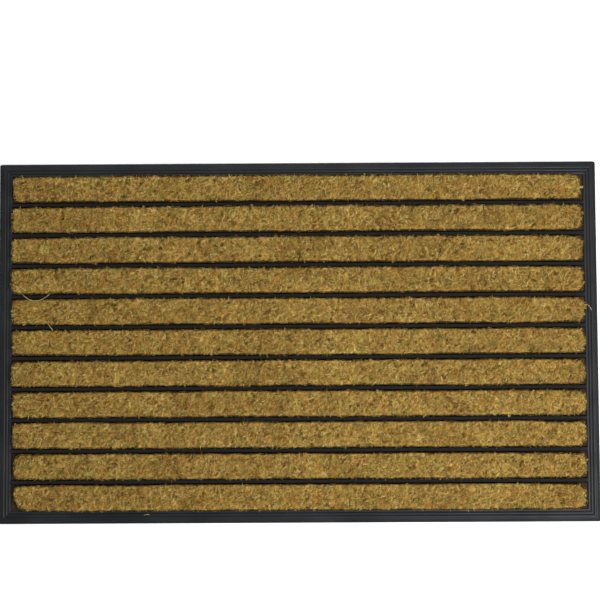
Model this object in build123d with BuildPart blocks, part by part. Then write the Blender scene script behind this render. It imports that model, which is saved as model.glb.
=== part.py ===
"""Door mat: a moulded rubber tray with rows of cut coir pile between raised rubber ribs.

Millimetres. The origin is the middle of the underside, +X runs along the rows, +Y from the
front row to the back row, and +Z is up. The tray is one moulding. Each of its channels holds
a vinyl backing strip, and the strip of coir pile that stands on it.
"""

import os

from build123d import *

# Driving dimensions of the mat
mat_length = 750.0
mat_width = 450.0
mat_corner_radius = 2.5
row_count = 11

# Tray: base sheet, border and ribs
base_thickness = 3.0
border_width = 16.5
edge_height = 2.6
outer_band_width = 4.5
outer_band_height = 4.4
ridge_count = 3
ridge_pitch = (border_width - outer_band_width) / ridge_count
ridge_groove_width = 0.6
ridge_crest_rise = 0.6
ridge_step_up = 0.7
rib_base_width = 6.2
rib_top_width = 4.2
rib_height = 4.6
rib_top_radius = 0.7

# Underside: a frame of shallow drainage grooves, inside a plain margin
underside_groove_width = 3.0
underside_groove_depth = 0.9
underside_margin = 16.0
underside_cells_x = 24
underside_cells_y = 14

# Coir rows
fit_clearance = 0.2
backing_thickness = 1.8
backing_corner_radius = 1.5
pile_end_setback = 2.0
pile_corner_radius = 4.0
pile_top_height = 16.0
pile_top_radius = 1.5

# Worked out from the dimensions above
channel_length = mat_length - 2 * border_width
channels_width = mat_width - 2 * border_width
channel_width = (channels_width - (row_count - 1) * rib_base_width) / row_count
row_pitch = channel_width + rib_base_width
backing_top = base_thickness + backing_thickness
strip_length = channel_length - 2 * fit_clearance
strip_width = channel_width - 2 * fit_clearance
pile_length = strip_length - 2 * pile_end_setback


def row_centre_y(row):
    """The middle of a row, counted from 0 at the back of the mat."""
    return ((row_count - 1) / 2 - row) * row_pitch


os.makedirs("parts", exist_ok=True)

# ---- Rubber tray ----
with BuildPart() as rubber_tray:
    # Base sheet
    with BuildSketch(Plane.XY):
        Rectangle(mat_length, mat_width)
    extrude(amount=base_thickness)

    # Border: one ridged section carried round the outside, mitred at the corners
    with BuildLine(Plane.XY) as border_path:
        half_length = mat_length / 2
        half_width = mat_width / 2
        Polyline(
            (0, -half_width),
            (half_length, -half_width),
            (half_length, half_width),
            (-half_length, half_width),
            (-half_length, -half_width),
            close=True,
        )
    border_section_plane = Plane(
        origin=(0, -mat_width / 2, 0), x_dir=(0, 1, 0), z_dir=(1, 0, 0)
    )
    with BuildSketch(border_section_plane):
        with BuildLine():
            foot = (0, 0)
            edge_top = (0, edge_height)
            band_end = (outer_band_width, outer_band_height)
            Polyline(foot, edge_top, band_end)
            groove_start = band_end
            for ridge in range(ridge_count):
                ridge_base = outer_band_height + ridge * ridge_step_up
                ridge_left = outer_band_width + ridge * ridge_pitch + ridge_groove_width
                ridge_right = outer_band_width + (ridge + 1) * ridge_pitch
                crest = ((ridge_left + ridge_right) / 2, ridge_base + ridge_crest_rise)
                Line(groove_start, (ridge_left, ridge_base))
                ThreePointArc((ridge_left, ridge_base), crest, (ridge_right, ridge_base))
                groove_start = (ridge_right, ridge_base)
            Polyline(groove_start, (border_width, 0), foot)
        make_face()
    sweep(path=border_path.line, transition=Transition.RIGHT)

    # Ribs that stand between the rows
    rib_plane = Plane(origin=(0, 0, base_thickness), x_dir=(0, 1, 0), z_dir=(1, 0, 0))
    with BuildSketch(rib_plane) as rib_sections:
        with GridLocations(row_pitch, 0, row_count - 1, 1):
            Polygon(
                (-rib_base_width / 2, 0),
                (rib_base_width / 2, 0),
                (rib_top_width / 2, rib_height),
                (-rib_top_width / 2, rib_height),
                align=None,
            )
        fillet(rib_sections.vertices().group_by(Axis.Y)[-1], radius=rib_top_radius)
    extrude(amount=channel_length / 2, both=True)

    # Small radius on the four upright corners
    with BuildSketch(Plane.XY):
        RectangleRounded(mat_length, mat_width, mat_corner_radius)
    extrude(amount=pile_top_height, mode=Mode.INTERSECT)

    # Drainage grooves in the underside
    grooved_length = mat_length - 2 * underside_margin
    grooved_width = mat_width - 2 * underside_margin
    cell_x = grooved_length / underside_cells_x
    cell_y = grooved_width / underside_cells_y
    with BuildSketch(Plane.XY):
        with GridLocations(cell_x, 0, underside_cells_x + 1, 1):
            Rectangle(underside_groove_width, grooved_width)
        with GridLocations(0, cell_y, 1, underside_cells_y + 1):
            Rectangle(grooved_length, underside_groove_width)
    extrude(amount=underside_groove_depth, mode=Mode.SUBTRACT)

rubber_tray.part.label = "rubber_tray"
export_step(rubber_tray.part, "parts/rubber_tray.step")

# ---- Coir rows: a backing strip and the pile that stands on it, in each channel ----
for row in range(row_count):
    row_name = f"{row + 1:02d}"

    with BuildPart() as coir_backing:
        with BuildSketch(Plane((0, row_centre_y(row), base_thickness))):
            RectangleRounded(strip_length, strip_width, backing_corner_radius)
        extrude(amount=backing_thickness)
    coir_backing.part.label = f"coir_backing_{row_name}"
    export_step(coir_backing.part, f"parts/coir_backing_{row_name}.step")

    with BuildPart() as coir_pile:
        with BuildSketch(Plane((0, row_centre_y(row), backing_top))):
            RectangleRounded(pile_length, strip_width, pile_corner_radius)
        extrude(amount=pile_top_height - backing_top)
        fillet(coir_pile.faces().sort_by(Axis.Z)[-1].edges(), radius=pile_top_radius)
    coir_pile.part.label = f"coir_pile_{row_name}"
    export_step(coir_pile.part, f"parts/coir_pile_{row_name}.step")
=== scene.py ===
"""Door mat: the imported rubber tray, with rows of coir bristles standing in its channels.

Metres, in the mat's own frame: +X along the rows, +Y towards the back row, +Z up.
"""

import math

import bpy
import numpy as np
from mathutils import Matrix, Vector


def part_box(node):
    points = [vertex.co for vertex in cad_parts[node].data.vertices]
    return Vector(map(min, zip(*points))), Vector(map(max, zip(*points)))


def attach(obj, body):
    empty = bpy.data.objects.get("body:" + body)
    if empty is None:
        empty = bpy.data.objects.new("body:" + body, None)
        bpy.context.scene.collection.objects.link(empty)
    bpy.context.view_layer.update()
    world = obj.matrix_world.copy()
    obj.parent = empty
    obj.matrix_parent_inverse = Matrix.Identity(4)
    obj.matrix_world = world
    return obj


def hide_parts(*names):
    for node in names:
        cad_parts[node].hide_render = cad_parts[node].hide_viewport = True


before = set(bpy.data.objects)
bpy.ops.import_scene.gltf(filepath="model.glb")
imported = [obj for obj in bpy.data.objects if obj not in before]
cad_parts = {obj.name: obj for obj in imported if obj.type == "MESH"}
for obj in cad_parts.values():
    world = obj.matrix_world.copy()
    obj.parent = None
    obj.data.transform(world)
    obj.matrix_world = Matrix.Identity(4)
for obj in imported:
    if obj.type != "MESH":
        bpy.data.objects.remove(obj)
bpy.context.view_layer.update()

MM = 0.001
SEED = 4207

# ---- Camera, fitted to how the mat lies in the picture ----
CAMERA_PLACE = (8.9 * MM, -11.7 * MM, 1400 * MM)
CAMERA_TILT = math.radians(2.62)
CAMERA_PAN = math.radians(0.27)
CAMERA_ROLL = math.radians(-0.30)
CAMERA_LENS = 66.9

# ---- Floor and sky ----
FLOOR_COLOUR = (0.93, 0.93, 0.93)
FLOOR_REACH = 6.0
FLOOR_GAP = 0.3 * MM
SKY_STRENGTH = 0.6

# ---- A row's outline, seen from above ----
EDGE_WANDER = 1.1 * MM  # how far a row's long edges stray from straight
SLOW_WANDER_LENGTH = 70 * MM
QUICK_WANDER_LENGTH = 13 * MM
SLOW_WANDER_SHARE = 0.65
END_TAPER = 1.1 * MM  # how much each long edge draws in towards the row's ends
TAPER_LENGTH = 110 * MM
WANDER_POINTS = 240
OUTLINE_POINTS = 1200

# How round a row's corners are, in millimetres: left back, left front, right back, right front
USUAL_CORNERS = (5, 5, 7, 7)
ROUNDED_CORNERS = {
    1: (5, 5, 10, 7),
    4: (4, 7, 6, 6),
    6: (5, 5, 9, 8),
    7: (6, 4, 10, 9),
    8: (5, 6, 9, 10),
    9: (5, 5, 7, 11),
    10: (10, 6, 6, 8),
    11: (6, 18, 12, 12),
}

# How far inside its CAD block a row's pile ends, in millimetres: left end, right end.
# Below nought, it ends outside the block.
SHORT_ENDS = {
    1: (1.0, 2.5),
    2: (-1.0, 1.5),
    3: (-1.0, 1.0),
    4: (-1.5, 1.0),
    8: (1.3, -0.5),
    9: (1.9, 0),
    10: (3.3, 0.5),
    11: (3.6, 0.8),
}

# ---- Coir pile; a tone runs from 0 for the darkest fibre to 1 for the palest, less any painted shade ----
FIBRE_RADIUS = 0.3 * MM
RADIUS_RANGE = (0.75, 1.2)  # the thinnest and the thickest fibre, in fibre radii
REFERENCE_RISE = 0.3  # keeps the direction that a tube is turned by off the upright fibres

TUFT_SPACING = 3.6 * MM  # the fibres gather into tufts about this far apart
TUFT_JITTER = 0.42  # how far a tuft's middle strays from an even grid, in grid steps
TUFT_STRETCH = 1.5  # how much longer a tuft is than a round one, in a direction of its own
TUFT_LEAN = 1.2 * MM
TUFT_GATHER = 0.42  # how far a tip leans to its tuft's middle, as a share of the way
TUFT_DOME = 1.1 * MM  # how much lower the fibres are at a tuft's rim than in its middle
TUFT_RIM = 0.6  # how far out the rim is, in tuft spacings
DOME_REACH = 1.3  # how far out the pile goes on falling, in rim distances
TUFT_HEIGHT_SPREAD = 0.35 * MM
TUFT_TONE_SPREAD = 0.13
SUNKEN_SHARE = 0.03  # the share of tufts that are pressed down, lower and darkened with painted shade
SUNKEN_DEPTH = 1.2 * MM
SUNKEN_SHADE_TONE = 0.15

BED_DEPTH = 2.6 * MM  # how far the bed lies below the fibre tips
BED_INSET = 1.2 * MM  # how far its walls lie inside the row's outline
BED_CELL = 1.7 * MM
BED_ROUGHNESS = 0.4 * MM
# The bed is toned darker than the standing tips, as painted shade deep in the pile
BED_SHADED_TONE = 0.35

STANDING_SPACING = 1.38 * MM
STANDING_INSET = 0.8 * MM
STANDING_LEAN = 0.6 * MM
STANDING_UNEVENNESS = (-0.7 * MM, 0.3 * MM)
STANDING_TAPER = (1.0, 0.8)
STANDING_TONE = 0.52
STANDING_TONE_SPREAD = 0.24
ROOT_DEPTH = BED_DEPTH + TUFT_DOME + 0.6 * MM  # the roots are out of sight in the bed
SHORTEST_FIBRE = 2 * MM
PIT_SIZE = 1.9 * MM  # small gaps between the fibre tips, sunk lower and darkened with painted shade
PIT_RANGE = (0.4, 0.7)  # the noise values where a pit starts and where it is deepest
PIT_DEPTH = 1.7 * MM
# How much darker the pits are painted, as painted shade
PIT_SHADE_TONE = 0.5
SHOULDER_WIDTH = 6.0 * MM  # the tips fall away this near a row's long edges, where they are darkened with painted shade
SHOULDER_DROP = 1.2 * MM
SHOULDER_SHADE_TONE = 0.14

EDGE_SPACING = 1.05 * MM
EDGE_LAYERS = 2
EDGE_INSET = 0.35 * MM
LAYER_INSET = 0.55 * MM  # how much deeper in the row each further layer stands
INSET_SPREAD = 0.4 * MM
FOOT_SPREAD = 0.2 * MM
EDGE_SPLAY = 0.35 * MM  # how far the edge bristles lean out over the rubber on average
LAYER_SPLAY = 0.2 * MM
CLUMP_SPLAY = 0.7 * MM
CLUMP_LENGTH = 5 * MM
WISP_SPLAY = 0.6 * MM
WISP_LENGTH = 2.2 * MM
SPLAY_SPREAD = 0.4 * MM
WHISKER_SHARE = 0.018  # the share of edge bristles that reach further out
WHISKER_REACH = (0.8 * MM, 2.2 * MM)
SWAY = 0.8 * MM  # how far they lean sideways
SWAY_LENGTH = 3 * MM
TIP_SPREAD = 0.3 * MM
EDGE_TIP_DEPTH = (0.2 * MM, 1.8 * MM)
EDGE_BEND = ((0.0, 0.0), (0.45, 0.12), (0.8, 0.5), (1.0, 1.0))  # share of height, share of lean
EDGE_TAPER = (1.0, 0.95, 0.75)
EDGE_TONE = 0.43
EDGE_TONE_SPREAD = 0.25

LOOSE_PER_ROW = 1900
LOOSE_RADIUS = 0.22 * MM
LOOSE_RADIUS_RANGE = (0.7, 1.25)
LOOSE_END_MARGIN = 2.5 * MM
LOOSE_SIDE_MARGIN = 2.2 * MM
LOOSE_DEPTH = (0.3 * MM, 1.2 * MM)
LOOSE_TURN = 0.45  # radians from one stretch of a fibre to the next
LOOSE_STRETCH = (0.9 * MM, 2.3 * MM)
LOOSE_CLIMB = (0.45, 0.1, -0.35)  # how steeply each stretch rises
LOOSE_TAPER = (1.0, 1.0, 0.8)
LOOSE_TONE = (0, 0.88)

# Single fibres that have come out of the pile, each as three points of a curve, in millimetres
STRAY_POINTS = 9
STRAY_FIBRES = (
    ((-343, 61, 15.6), (-327, 43, 17.6), (-308, 61.5, 15.8)),
    ((-311, 23.5, 15.2), (-308, 20.5, 16.8), (-304.5, 15.5, 16.2)),
    ((359.5, 45, 7.8), (364.5, 44, 7.5), (366.5, 37.5, 6.5)),
    ((-192, -214.4, 7.0), (-189, -212.4, 7.3), (-186, -213.6, 7.0)),
)

# ---- Rubber ----
WORN_DEPTH = 2.1 * MM  # how far below the tray's top its dusty wear begins
UNDERSIDE_HEIGHT = 1.5 * MM  # what lies lower than this belongs to the underside


# ---- Mesh helpers ----
def make_piece(name, points, face_groups, material, attributes=()):
    """An object made from points and groups of faces; each group has one face per line."""
    corners = np.concatenate([group.ravel() for group in face_groups])
    counts = np.concatenate([np.full(len(group), group.shape[1]) for group in face_groups])
    starts = np.concatenate([[0], np.cumsum(counts)[:-1]])
    mesh = bpy.data.meshes.new(name)
    mesh.vertices.add(len(points))
    mesh.vertices.foreach_set("co", points.astype(np.float32).ravel())
    mesh.loops.add(len(corners))
    mesh.loops.foreach_set("vertex_index", corners.astype(np.int32))
    mesh.polygons.add(len(counts))
    mesh.polygons.foreach_set("loop_start", starts.astype(np.int32))
    mesh.polygons.foreach_set("use_smooth", np.ones(len(counts), bool))
    mesh.update(calc_edges=True)
    for attribute_name, values in attributes:
        attribute = mesh.attributes.new(attribute_name, "FLOAT", "POINT")
        attribute.data.foreach_set("value", values.astype(np.float32))
    mesh.materials.append(material)
    piece = bpy.data.objects.new(name, mesh)
    bpy.context.scene.collection.objects.link(piece)
    return piece


def unit(vectors):
    """The same vectors at length one."""
    return vectors / np.linalg.norm(vectors, axis=-1, keepdims=True)


def fibre_mesh(spines, radii, rng):
    """Points and triangles of closed three-sided tubes along spines.

    spines holds fibres x points x 3, and radii holds fibres x rings. A spine with one point more
    than its rings ends in a point there, and any other is cut off flat.
    """
    count, spine_points, _ = spines.shape
    rings = radii.shape[1]
    pointed = spine_points > rings
    tangents = unit(np.gradient(spines, axis=1)[:, :rings])
    turn = rng.uniform(0, 2 * np.pi, (count, 1, 1))
    rise = np.full_like(turn, REFERENCE_RISE)
    reference = np.concatenate([np.cos(turn), np.sin(turn), rise], axis=-1)
    side = unit(np.cross(tangents, reference))
    other_side = np.cross(tangents, side)
    corners = []
    for corner in range(3):
        angle = corner * 2 * np.pi / 3
        offset = side * math.cos(angle) + other_side * math.sin(angle)
        corners.append(spines[:, :rings] + offset * radii[:, :, None])
    points = np.stack(corners, axis=2).reshape(count, rings * 3, 3)
    if pointed:
        points = np.concatenate([points, spines[:, -1:]], axis=1)

    triangles = [(2, 1, 0)]
    for ring in range(rings - 1):
        for corner in range(3):
            here = ring * 3 + corner
            beside = ring * 3 + (corner + 1) % 3
            triangles += [(here, beside, beside + 3), (here, beside + 3, here + 3)]
    last = (rings - 1) * 3
    if pointed:
        tip = last + 3
        triangles += [(last, last + 1, tip), (last + 1, last + 2, tip), (last + 2, last, tip)]
    else:
        triangles.append((last, last + 1, last + 2))
    first_point = np.arange(count)[:, None, None] * points.shape[1]
    return points.reshape(-1, 3), (first_point + np.array(triangles)).reshape(-1, 3)


def smooth_noise(rng, x, y, scale):
    """Soft random values, mostly between -1 and 1, that change over about scale metres."""
    column = (x - x.min()) / scale
    line = (y - y.min()) / scale
    lattice = rng.uniform(-1, 1, (int(column.max()) + 2, int(line.max()) + 2))
    left = column.astype(int)
    low = line.astype(int)
    across = column - left
    up = line - low
    across = across * across * (3 - 2 * across)
    up = up * up * (3 - 2 * up)
    near = lattice[left, low] * (1 - across) + lattice[left + 1, low] * across
    far = lattice[left, low + 1] * (1 - across) + lattice[left + 1, low + 1] * across
    return near * (1 - up) + far * up


def noise_along(rng, distance, scale):
    """Soft random values along a line."""
    return smooth_noise(rng, distance, distance * 0, scale)


# ---- The parts of a row ----
class RowShape:
    """A row's outline from its CAD node: a long rectangle with ends and corners of its own."""

    def __init__(self, node, row, rng):
        self.low, self.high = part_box(node)
        short_left, short_right = SHORT_ENDS.get(row, (0, 0))
        self.low.x += short_left * MM
        self.high.x -= short_right * MM
        radii = ROUNDED_CORNERS.get(row, USUAL_CORNERS)
        self.left_back, self.left_front, self.right_back, self.right_front = [
            radius * MM for radius in radii
        ]
        self.wander_x = np.linspace(self.low.x, self.high.x, WANDER_POINTS)
        self.front_wander = self.wander(rng)
        self.back_wander = self.wander(rng)

    def wander(self, rng):
        """How far a long edge strays from straight, at each of wander_x."""
        slow = noise_along(rng, self.wander_x, SLOW_WANDER_LENGTH)
        quick = noise_along(rng, self.wander_x, QUICK_WANDER_LENGTH)
        return EDGE_WANDER * (SLOW_WANDER_SHARE * slow + (1 - SLOW_WANDER_SHARE) * quick)

    @staticmethod
    def corner_inset(distance, radius):
        """How far a rounded corner pulls the long edge in, at a distance from the row's end."""
        reach = np.clip(radius - distance, 0, radius)
        return radius - np.sqrt(radius * radius - reach * reach)

    def edges(self, x, inset=0.0):
        """The row's front and back edge at each x."""
        from_left = np.maximum(x - (self.low.x + inset), 0)
        from_right = np.maximum((self.high.x - inset) - x, 0)
        front = self.low.y + inset + np.maximum(
            self.corner_inset(from_left, self.left_front),
            self.corner_inset(from_right, self.right_front),
        )
        back = self.high.y - inset - np.maximum(
            self.corner_inset(from_left, self.left_back),
            self.corner_inset(from_right, self.right_back),
        )
        to_end = np.minimum(from_left, from_right)
        taper = END_TAPER * np.clip(1 - to_end / TAPER_LENGTH, 0, 1) ** 2
        front = front + taper + np.interp(x, self.wander_x, self.front_wander)
        back = back - taper + np.interp(x, self.wander_x, self.back_wander)
        return front, back

    def walk(self, spacing):
        """Evenly spaced points round the outline, with the outward direction at each."""
        x = np.linspace(self.low.x, self.high.x, OUTLINE_POINTS)
        front, back = self.edges(x)
        loop_x = np.concatenate([x, x[::-1], x[:1]])
        loop_y = np.concatenate([front, back[::-1], front[:1]])
        steps = np.hypot(np.diff(loop_x), np.diff(loop_y))
        along = np.concatenate([[0], np.cumsum(steps)])
        stops = np.arange(0, along[-1], spacing)
        points = np.stack([np.interp(stops, along, loop_x), np.interp(stops, along, loop_y)], axis=1)
        ahead = np.roll(points, -2, axis=0) - np.roll(points, 2, axis=0)
        outward = unit(np.stack([ahead[:, 1], -ahead[:, 0]], axis=1))
        return points, outward


class Tufts:
    """The clumps that a row's fibres gather into, each with a middle, a lean, a height and a tone."""

    def __init__(self, shape, rng):
        self.low = shape.low
        self.columns = int((shape.high.x - shape.low.x) / TUFT_SPACING)
        self.lines = int((shape.high.y - shape.low.y) / TUFT_SPACING)
        self.step_x = (shape.high.x - shape.low.x) / self.columns
        self.step_y = (shape.high.y - shape.low.y) / self.lines
        size = (self.columns, self.lines)
        column, line = np.meshgrid(np.arange(self.columns), np.arange(self.lines), indexing="ij")
        jitter_x = rng.uniform(-TUFT_JITTER, TUFT_JITTER, size)
        jitter_y = rng.uniform(-TUFT_JITTER, TUFT_JITTER, size)
        self.x = self.low.x + (column + 0.5 + jitter_x) * self.step_x
        self.y = self.low.y + (line + 0.5 + jitter_y) * self.step_y
        self.heading = rng.uniform(0, np.pi, size)
        along = np.stack([np.cos(self.heading), np.sin(self.heading)], axis=-1)
        self.lean = along * rng.normal(0, TUFT_LEAN, (*size, 1))
        self.height = rng.normal(0, TUFT_HEIGHT_SPREAD, size)
        self.tone = rng.normal(0, TUFT_TONE_SPREAD, size)
        sunken = rng.uniform(0, 1, size) < SUNKEN_SHARE
        self.height[sunken] -= SUNKEN_DEPTH
        # Pressed-down tufts sit lower and are painted darker, as painted shade
        self.tone[sunken] -= SUNKEN_SHADE_TONE

    def nearest(self, x, y):
        """Each point's tuft, as its place in the tuft arrays, and its distance from the middle."""
        column = np.clip(((x - self.low.x) / self.step_x).astype(int), 0, self.columns - 1)
        line = np.clip(((y - self.low.y) / self.step_y).astype(int), 0, self.lines - 1)
        best_distance = np.full(x.shape, np.inf)
        best_column = column.copy()
        best_line = line.copy()
        for step_column in (-1, 0, 1):
            for step_line in (-1, 0, 1):
                here_column = np.clip(column + step_column, 0, self.columns - 1)
                here_line = np.clip(line + step_line, 0, self.lines - 1)
                middle = (here_column, here_line)
                away_x = x - self.x[middle]
                away_y = y - self.y[middle]
                cos_heading = np.cos(self.heading[middle])
                sin_heading = np.sin(self.heading[middle])
                along = away_x * cos_heading + away_y * sin_heading
                across = away_y * cos_heading - away_x * sin_heading
                distance = np.hypot(along / TUFT_STRETCH, across * TUFT_STRETCH)
                nearer = distance < best_distance
                best_distance = np.where(nearer, distance, best_distance)
                best_column = np.where(nearer, here_column, best_column)
                best_line = np.where(nearer, here_line, best_line)
        return (best_column, best_line), best_distance

    def drop(self, distance):
        """How much lower the pile is at a distance from a tuft's middle."""
        return TUFT_DOME * np.minimum(distance / (TUFT_SPACING * TUFT_RIM), DOME_REACH) ** 2


def bed_of(shape, tufts, rng):
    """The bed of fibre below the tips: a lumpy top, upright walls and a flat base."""
    length = shape.high.x - shape.low.x - 2 * BED_INSET
    width = shape.high.y - shape.low.y - 2 * BED_INSET
    columns = int(length / BED_CELL)
    lines = int(width / BED_CELL)
    x = np.linspace(shape.low.x + BED_INSET, shape.high.x - BED_INSET, columns)
    front, back = shape.edges(x, BED_INSET)
    share = np.linspace(0, 1, lines)
    grid_x = np.repeat(x[:, None], lines, axis=1)
    grid_y = front[:, None] + (back - front)[:, None] * share
    tuft, distance = tufts.nearest(grid_x, grid_y)
    grid_z = shape.high.z - BED_DEPTH - tufts.drop(distance) + tufts.height[tuft]
    grid_z += rng.uniform(-BED_ROUGHNESS, BED_ROUGHNESS, grid_x.shape)
    top = np.stack([grid_x, grid_y, grid_z], axis=-1).reshape(-1, 3)

    index = np.arange(columns * lines).reshape(columns, lines)
    quads = np.stack(
        [index[:-1, :-1], index[1:, :-1], index[1:, 1:], index[:-1, 1:]], axis=-1
    ).reshape(-1, 4)
    rim = np.concatenate([index[:, 0], index[-1, 1:], index[-2::-1, -1], index[0, -2:0:-1]])
    foot = top[rim].copy()
    foot[:, 2] = shape.low.z
    foot_index = len(top) + np.arange(len(rim))
    walls = np.stack([foot_index, np.roll(foot_index, -1), np.roll(rim, -1), rim], axis=1)
    base = foot_index[::-1][None, :]
    # Painted shade: the bed takes a darker tone than the tips above it
    tone = BED_SHADED_TONE + tufts.tone[tuft].ravel()
    tone = np.concatenate([tone, tone[rim]])
    return np.concatenate([top, foot]), [quads, walls, base], tone


def standing_fibres(shape, tufts, rng):
    """Bristles that stand over the whole row, leaning a little this way and that in tufts."""
    length = shape.high.x - shape.low.x
    width = shape.high.y - shape.low.y
    columns = int(length / STANDING_SPACING)
    lines = int(width / STANDING_SPACING)
    column, line = np.meshgrid(np.arange(columns), np.arange(lines), indexing="ij")
    count = columns * lines
    x = shape.low.x + (column.ravel() + rng.uniform(0, 1, count)) / columns * length
    front, back = shape.edges(x, STANDING_INSET)
    y = front + (back - front) * (line.ravel() + rng.uniform(0, 1, count)) / lines
    # Towards the long edges the tips fall lower and get painted shade
    shoulder = np.clip(1 - np.minimum(y - front, back - y) / SHOULDER_WIDTH, 0, 1) ** 2
    tuft, distance = tufts.nearest(x, y)
    lean = tufts.lean[tuft] + rng.normal(0, STANDING_LEAN, (count, 2))
    lean[:, 0] += TUFT_GATHER * (tufts.x[tuft] - x)
    lean[:, 1] += TUFT_GATHER * (tufts.y[tuft] - y)
    height = shape.high.z + tufts.height[tuft] - tufts.drop(distance)
    pit_start, pit_full = PIT_RANGE
    pit = np.clip((smooth_noise(rng, x, y, PIT_SIZE) - pit_start) / (pit_full - pit_start), 0, 1)
    height += rng.uniform(*STANDING_UNEVENNESS, count) - pit * PIT_DEPTH - shoulder * SHOULDER_DROP

    root_z = np.minimum(shape.high.z - ROOT_DEPTH, height - SHORTEST_FIBRE)
    root = np.stack([x, y, root_z], axis=1)
    tip = np.stack([x + lean[:, 0], y + lean[:, 1], height], axis=1)
    spines = np.stack([root, tip], axis=1)
    radii = FIBRE_RADIUS * rng.uniform(*RADIUS_RANGE, (count, 1)) * np.array([STANDING_TAPER])
    tone = STANDING_TONE + tufts.tone[tuft] + rng.normal(0, STANDING_TONE_SPREAD, count)
    # Painted shade: darker in the pits and on the shoulders, where the tips lie lower
    tone -= PIT_SHADE_TONE * pit + SHOULDER_SHADE_TONE * shoulder
    return spines, radii, tone


def edge_fibres(shape, tufts, rng):
    """Longer bristles round the outline, which splay out over the rubber in ragged clumps."""
    all_spines = []
    tones = []
    for layer in range(EDGE_LAYERS):
        places, outward = shape.walk(EDGE_SPACING)
        count = len(places)
        inset = EDGE_INSET + LAYER_INSET * layer + rng.uniform(0, INSET_SPREAD, count)
        foot = places - outward * inset[:, None] + rng.normal(0, FOOT_SPREAD, (count, 2))
        along = np.arange(count) * EDGE_SPACING
        clump = noise_along(rng, along, CLUMP_LENGTH)
        wisp = noise_along(rng, along, WISP_LENGTH)
        tuft, _ = tufts.nearest(foot[:, 0], foot[:, 1])
        splay = EDGE_SPLAY + CLUMP_SPLAY * clump + WISP_SPLAY * wisp - LAYER_SPLAY * layer
        splay += rng.normal(0, SPLAY_SPREAD, count)
        whisker = rng.uniform(0, 1, count) < WHISKER_SHARE
        splay = np.where(whisker, splay + rng.uniform(*WHISKER_REACH, count), splay)
        sideways = np.stack([-outward[:, 1], outward[:, 0]], axis=1)
        sway = sideways * (SWAY * noise_along(rng, along, SWAY_LENGTH))[:, None]
        top = foot + outward * splay[:, None] + sway + rng.normal(0, TIP_SPREAD, (count, 2))
        # However far the tips stray, the feet stay in the channel
        foot[:, 1] = np.clip(foot[:, 1], shape.low.y + FIBRE_RADIUS, shape.high.y - FIBRE_RADIUS)
        height = shape.high.z + tufts.height[tuft] - rng.uniform(*EDGE_TIP_DEPTH, count)
        spine = []
        for share, bend in EDGE_BEND:
            z = shape.low.z + (height - shape.low.z) * share
            flat = foot + (top - foot) * bend
            spine.append(np.concatenate([flat, z[:, None]], axis=1))
        all_spines.append(np.stack(spine, axis=1))
        tones.append(EDGE_TONE + tufts.tone[tuft] + rng.normal(0, EDGE_TONE_SPREAD, count))
    spines = np.concatenate(all_spines)
    radii = FIBRE_RADIUS * rng.uniform(*RADIUS_RANGE, (len(spines), 1)) * np.array([EDGE_TAPER])
    return spines, radii, np.concatenate(tones)


def loose_fibres(shape, tufts, rng):
    """Thin bent fibres that lie over the tips in all directions."""
    count = LOOSE_PER_ROW
    x = rng.uniform(shape.low.x + LOOSE_END_MARGIN, shape.high.x - LOOSE_END_MARGIN, count)
    front, back = shape.edges(x, LOOSE_SIDE_MARGIN)
    y = front + (back - front) * rng.uniform(0, 1, count)
    tuft, _ = tufts.nearest(x, y)
    z = shape.high.z + tufts.height[tuft] - rng.uniform(*LOOSE_DEPTH, count)
    start = np.stack([x, y, z], axis=1)
    heading = rng.uniform(0, 2 * np.pi, count)
    turn = rng.normal(0, LOOSE_TURN, count)
    step = rng.uniform(*LOOSE_STRETCH, count)
    spine = [start]
    for climb in LOOSE_CLIMB:
        move = np.stack([np.cos(heading), np.sin(heading), np.full(count, climb)], axis=1)
        spine.append(spine[-1] + move * step[:, None])
        heading = heading + turn
    radii = LOOSE_RADIUS * rng.uniform(*LOOSE_RADIUS_RANGE, (count, 1)) * np.array([LOOSE_TAPER])
    tone = rng.uniform(*LOOSE_TONE, count)
    return np.stack(spine, axis=1), radii, tone


def coir_row(row, material):
    """One row's pile as a single piece, which stands for its CAD block."""
    node = f"coir_pile_{row:02d}"
    rng = np.random.default_rng(SEED + row)
    shape = RowShape(node, row, rng)
    tufts = Tufts(shape, rng)
    bed_points, face_groups, bed_shaded_tone = bed_of(shape, tufts, rng)
    points = [bed_points]
    tones = [bed_shaded_tone]
    for make in (standing_fibres, edge_fibres, loose_fibres):
        spines, radii, tone = make(shape, tufts, rng)
        fibre_points, triangles = fibre_mesh(spines, radii, rng)
        face_groups.append(triangles + sum(len(group) for group in points))
        points.append(fibre_points)
        tones.append(np.repeat(tone, len(fibre_points) // len(spines)))
    points = np.concatenate(points)
    # How high each point stands in the pile; the coir material paints shade on the lower points
    reach = (points[:, 2] - shape.low.z) / (shape.high.z - shape.low.z)
    tone = np.clip(np.concatenate(tones), 0, 1)
    piece = make_piece(
        f"pile_fibres_{row:02d}",
        points,
        face_groups,
        material,
        [("tone", tone), ("reach", np.clip(reach, 0, 1))],
    )
    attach(piece, "root")
    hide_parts(node)


def stray_fibres(material):
    """The few single pale fibres that have come out of the pile and lie across the rubber."""
    rng = np.random.default_rng(SEED)
    share = np.linspace(0, 1, STRAY_POINTS)[:, None]
    spines = []
    for start, middle, end in np.array(STRAY_FIBRES) * MM:
        spines.append(start * (1 - share) ** 2 + middle * 2 * share * (1 - share) + end * share**2)
    spines = np.stack(spines)
    radii = np.full((len(spines), spines.shape[1]), LOOSE_RADIUS)
    points, triangles = fibre_mesh(spines, radii, rng)
    tone = np.ones(len(points))
    attributes = [("tone", tone), ("reach", np.ones(len(points)))]
    piece = make_piece("stray_fibres", points, [triangles], material, attributes)
    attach(piece, "root")


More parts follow.
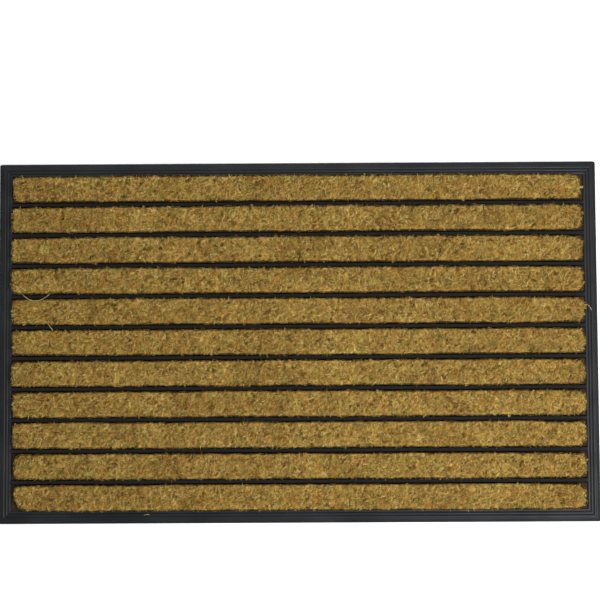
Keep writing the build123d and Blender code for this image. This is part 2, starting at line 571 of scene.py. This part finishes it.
# ---- Material helpers ----
def new_material(name):
    """An empty node material: its tree, its surface shader and object coordinates."""
    material = bpy.data.materials.new(name)
    material.use_nodes = True
    tree = material.node_tree
    tree.nodes.clear()
    output = tree.nodes.new("ShaderNodeOutputMaterial")
    shader = tree.nodes.new("ShaderNodeBsdfPrincipled")
    tree.links.new(shader.outputs["BSDF"], output.inputs["Surface"])
    place = tree.nodes.new("ShaderNodeTexCoord").outputs["Object"]
    return material, tree, shader, place


def noise_value(tree, place, size, detail=3.0, roughness=0.55):
    """Noise whose features are about size metres across."""
    node = tree.nodes.new("ShaderNodeTexNoise")
    node.inputs["Scale"].default_value = 1 / size
    node.inputs["Detail"].default_value = detail
    node.inputs["Roughness"].default_value = roughness
    tree.links.new(place, node.inputs["Vector"])
    return node.outputs["Fac"]


def ramp(tree, value, *stops):
    """A colour ramp of (position, (red, green, blue)) stops, driven by value."""
    node = tree.nodes.new("ShaderNodeValToRGB")
    elements = node.color_ramp.elements
    while len(elements) < len(stops):
        elements.new(0.5)
    for element, (position, colour) in zip(elements, stops):
        element.position = position
        element.color = (*colour, 1.0)
    tree.links.new(value, node.inputs["Fac"])
    return node.outputs["Color"]


def between(tree, value, low, high, new_low, new_high):
    """value, taken from the range low..high to new_low..new_high and held there."""
    node = tree.nodes.new("ShaderNodeMapRange")
    for name, number in (
        ("From Min", low),
        ("From Max", high),
        ("To Min", new_low),
        ("To Max", new_high),
    ):
        node.inputs[name].default_value = number
    tree.links.new(value, node.inputs["Value"])
    return node.outputs["Result"]


def arithmetic(tree, operation, *values):
    """The result of a Math node on values, which may be numbers or links."""
    node = tree.nodes.new("ShaderNodeMath")
    node.operation = operation
    for socket, value in zip(node.inputs, values):
        if isinstance(value, bpy.types.NodeSocket):
            tree.links.new(value, socket)
        else:
            socket.default_value = value
    return node.outputs["Value"]


def within(tree, value, limit):
    """One where value lies between -limit and limit, and nought outside."""
    return arithmetic(tree, "LESS_THAN", arithmetic(tree, "ABSOLUTE", value), limit)


def blend_colours(tree, share, first, second, mode="MIX"):
    """first and second blended by share; either may be a colour or a link, share a number or a link."""
    node = tree.nodes.new("ShaderNodeMix")
    node.data_type = "RGBA"
    node.blend_type = mode
    for socket, value in ((node.inputs[0], share), (node.inputs[6], first), (node.inputs[7], second)):
        if isinstance(value, bpy.types.NodeSocket):
            tree.links.new(value, socket)
        elif isinstance(value, tuple):
            socket.default_value = (*value, 1.0)
        else:
            socket.default_value = value
    return node.outputs[2]


def bump(tree, shader, height, depth, strength):
    """Makes the surface look raised by height times depth metres."""
    node = tree.nodes.new("ShaderNodeBump")
    node.inputs["Distance"].default_value = depth
    node.inputs["Strength"].default_value = strength
    tree.links.new(height, node.inputs["Height"])
    tree.links.new(node.outputs["Normal"], shader.inputs["Normal"])


def streaks(tree, place, cell, width, length):
    """Fine streaks, each patch of about cell metres with a direction of its own."""
    cells = tree.nodes.new("ShaderNodeTexVoronoi")
    cells.inputs["Scale"].default_value = 1 / cell
    tree.links.new(place, cells.inputs["Vector"])
    away = tree.nodes.new("ShaderNodeVectorMath")
    away.operation = "SUBTRACT"
    tree.links.new(place, away.inputs[0])
    tree.links.new(cells.outputs["Position"], away.inputs[1])
    channels = tree.nodes.new("ShaderNodeSeparateColor")
    tree.links.new(cells.outputs["Color"], channels.inputs["Color"])
    turned = tree.nodes.new("ShaderNodeVectorRotate")
    turned.rotation_type = "Z_AXIS"
    tree.links.new(away.outputs["Vector"], turned.inputs["Vector"])
    half_turn = arithmetic(tree, "MULTIPLY", channels.outputs["Red"], math.pi)
    tree.links.new(half_turn, turned.inputs["Angle"])
    drawn_out = tree.nodes.new("ShaderNodeMapping")
    drawn_out.inputs["Scale"].default_value = (1 / length, 1 / width, 1 / width)
    tree.links.new(turned.outputs["Vector"], drawn_out.inputs["Vector"])
    tree.links.new(cells.outputs["Color"], drawn_out.inputs["Location"])
    return noise_value(tree, drawn_out.outputs["Vector"], 1.0, 2.0)


# ---- Materials ----
def coir_material():
    """Cut coir: straw to brown fibres with fine strands, and painted shade that darkens them towards
    their roots.

    They vary in small patches of tint and in broad lighter and darker areas.
    """
    material, tree, shader, place = new_material("coir_fibre_look")
    tone = tree.nodes.new("ShaderNodeAttribute")
    tone.attribute_name = "tone"
    reach = tree.nodes.new("ShaderNodeAttribute")
    reach.attribute_name = "reach"
    fibre = ramp(
        tree,
        tone.outputs["Fac"],
        (0.0, (0.105, 0.056, 0.011)),
        (0.3, (0.305, 0.199, 0.043)),
        (0.6, (0.45, 0.320, 0.078)),
        (1.0, (0.70, 0.59, 0.28)),
    )
    patches = ramp(
        tree,
        noise_value(tree, place, 14 * MM),
        (0.3, (0.89, 1.0, 0.9)),
        (0.5, (1.0, 1.0, 1.0)),
        (0.7, (1.10, 0.945, 0.86)),
    )
    tinted = blend_colours(tree, 0.8, fibre, patches, "MULTIPLY")
    areas = ramp(
        tree,
        noise_value(tree, place, 45 * MM, 4.0, 0.7),
        (0.3, (0.82, 0.765, 0.72)),
        (0.5, (1.0, 1.0, 1.0)),
        (0.7, (1.15, 1.18, 1.21)),
    )
    tinted = blend_colours(tree, 1.0, tinted, areas, "MULTIPLY")
    # Painted shade: the lower a point lies in the pile, the darker it is painted
    shade = ramp(
        tree,
        between(tree, reach.outputs["Fac"], 0.3, 0.95, 0, 1),
        (0.0, (0.30, 0.22, 0.15)),
        (0.65, (0.72, 0.65, 0.55)),
        (1.0, (1.0, 1.0, 1.0)),
    )
    colour = blend_colours(tree, 1.0, tinted, shade, "MULTIPLY")
    strands = streaks(tree, place, 4 * MM, 0.3 * MM, 2.5 * MM)
    strand_shade = ramp(
        tree,
        strands,
        (0.32, (0.60, 0.52, 0.43)),
        (0.5, (0.98, 0.98, 0.98)),
        (0.68, (1.18, 1.2, 1.22)),
    )
    colour = blend_colours(tree, 1.0, colour, strand_shade, "MULTIPLY")
    tree.links.new(colour, shader.inputs["Base Color"])
    tree.links.new(
        between(tree, noise_value(tree, place, 2 * MM), 0.3, 0.7, 0.65, 0.9),
        shader.inputs["Roughness"],
    )
    shader.inputs["Specular IOR Level"].default_value = 0.15
    bump(tree, shader, strands, 0.25 * MM, 0.6)
    return material


def rubber_material():
    """Moulded rubber: near-black, with a fine skin, faint smudges and paler, dusty high spots.

    Between the rows, under the bristles, it is duller and is painted darker as shade.
    """
    _, back_channel_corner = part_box("coir_backing_01")
    tray_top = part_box("rubber_tray")[1].z
    material, tree, shader, place = new_material("moulded_rubber_look")
    smudges = ramp(
        tree,
        noise_value(tree, place, 60 * MM, 5.0),
        (0.35, (0.0040, 0.0045, 0.0054)),
        (0.65, (0.0095, 0.0103, 0.0112)),
    )
    parts = tree.nodes.new("ShaderNodeSeparateXYZ")
    tree.links.new(place, parts.inputs["Vector"])
    crest_wear = between(tree, parts.outputs["Z"], tray_top - WORN_DEPTH, tray_top, 0, 0.5)
    worn = blend_colours(tree, crest_wear, smudges, (0.018, 0.021, 0.023))
    dust = between(tree, noise_value(tree, place, 1.2 * MM, 2.0), 0.68, 0.78, 0, 0.35)
    dusty = blend_colours(tree, dust, worn, (0.10, 0.085, 0.06))
    # Painted shade: the rubber between the rows, under the bristles, is painted darker; it is also made
    # duller
    channel_shade_mask = arithmetic(
        tree,
        "MULTIPLY",
        within(tree, parts.outputs["X"], back_channel_corner.x),
        within(tree, parts.outputs["Y"], back_channel_corner.y),
    )
    above_underside = arithmetic(tree, "GREATER_THAN", parts.outputs["Z"], UNDERSIDE_HEIGHT)
    channel_shade_mask = arithmetic(tree, "MULTIPLY", channel_shade_mask, above_underside)
    # Painted shade colour for the rubber between the rows
    colour = blend_colours(tree, channel_shade_mask, dusty, (0.0068, 0.0064, 0.0054))
    tree.links.new(colour, shader.inputs["Base Color"])
    finish = between(tree, noise_value(tree, place, 25 * MM), 0.3, 0.7, 0.42, 0.56)
    dulled = arithmetic(tree, "MAXIMUM", finish, arithmetic(tree, "MULTIPLY", channel_shade_mask, 0.85))
    tree.links.new(dulled, shader.inputs["Roughness"])
    shader.inputs["Specular IOR Level"].default_value = 0.18
    bump(tree, shader, noise_value(tree, place, 0.7 * MM, 2.0), 0.08 * MM, 0.6)
    return material


def backing_material():
    """Brown vinyl with the fibres' roots showing through."""
    material, tree, shader, place = new_material("backing_vinyl_look")
    mottle = ramp(
        tree,
        noise_value(tree, place, 1.5 * MM),
        (0.35, (0.010, 0.007, 0.004)),
        (0.65, (0.035, 0.023, 0.011)),
    )
    tree.links.new(mottle, shader.inputs["Base Color"])
    tree.links.new(
        between(tree, noise_value(tree, place, 4 * MM), 0.3, 0.7, 0.75, 0.95),
        shader.inputs["Roughness"],
    )
    shader.inputs["Specular IOR Level"].default_value = 0.08
    bump(tree, shader, noise_value(tree, place, 1.0 * MM), 0.2 * MM, 0.5)
    return material


def floor_material():
    """A plain pale floor."""
    material, _, shader, _ = new_material("pale_floor")
    shader.inputs["Base Color"].default_value = (*FLOOR_COLOUR, 1.0)
    shader.inputs["Roughness"].default_value = 0.9
    return material


# ---- The mat ----
rubber = rubber_material()
backing = backing_material()
coir = coir_material()
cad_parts["rubber_tray"].material_slots[0].material = rubber
row_count = sum(name.startswith("coir_pile_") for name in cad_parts)
for row in range(1, row_count + 1):
    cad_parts[f"coir_backing_{row:02d}"].material_slots[0].material = backing
    coir_row(row, coir)
stray_fibres(coir)

# ---- Floor, light and camera ----
def make_floor():
    """A flat floor far wider than the mat, a hair below it."""
    reach = FLOOR_REACH
    points = np.array([(-reach, -reach, 0), (reach, -reach, 0), (reach, reach, 0), (-reach, reach, 0)])
    floor = make_piece("floor", points, [np.array([[0, 1, 2, 3]])], floor_material())
    floor.location.z = -FLOOR_GAP


def area_light(name, place, target, size, power):
    """A square softbox of size metres and power watts that faces its target."""
    light = bpy.data.lights.new(name, "AREA")
    light.shape = "SQUARE"
    light.size = size
    light.energy = power
    lamp = bpy.data.objects.new(name, light)
    lamp.location = place
    direction = np.array(target) - np.array(place)
    lamp.rotation_euler = (
        math.atan2(math.hypot(direction[0], direction[1]), -direction[2]),
        0,
        math.atan2(direction[1], direction[0]) - math.pi / 2,
    )
    bpy.context.scene.collection.objects.link(lamp)


make_floor()
area_light("key_softbox", place=(0.76, -0.48, 1.4), target=(0.1, 0, 0), size=0.5, power=32)
area_light("fill_softbox", place=(0.2, 1.3, 1.8), target=(0, 0.1, 0), size=1.5, power=20)

world = bpy.data.worlds.new("studio")
bpy.context.scene.world = world
world.use_nodes = True
background = world.node_tree.nodes["Background"]
background.inputs["Color"].default_value = (1.0, 1.0, 1.0, 1.0)
background.inputs["Strength"].default_value = SKY_STRENGTH
bpy.context.scene.view_settings.view_transform = "Standard"

camera_data = bpy.data.cameras.new("camera")
camera_data.lens = CAMERA_LENS
camera = bpy.data.objects.new("camera", camera_data)
camera.location = CAMERA_PLACE
camera.rotation_euler = (CAMERA_TILT, CAMERA_PAN, CAMERA_ROLL)
bpy.context.scene.collection.objects.link(camera)
bpy.context.scene.camera = camera
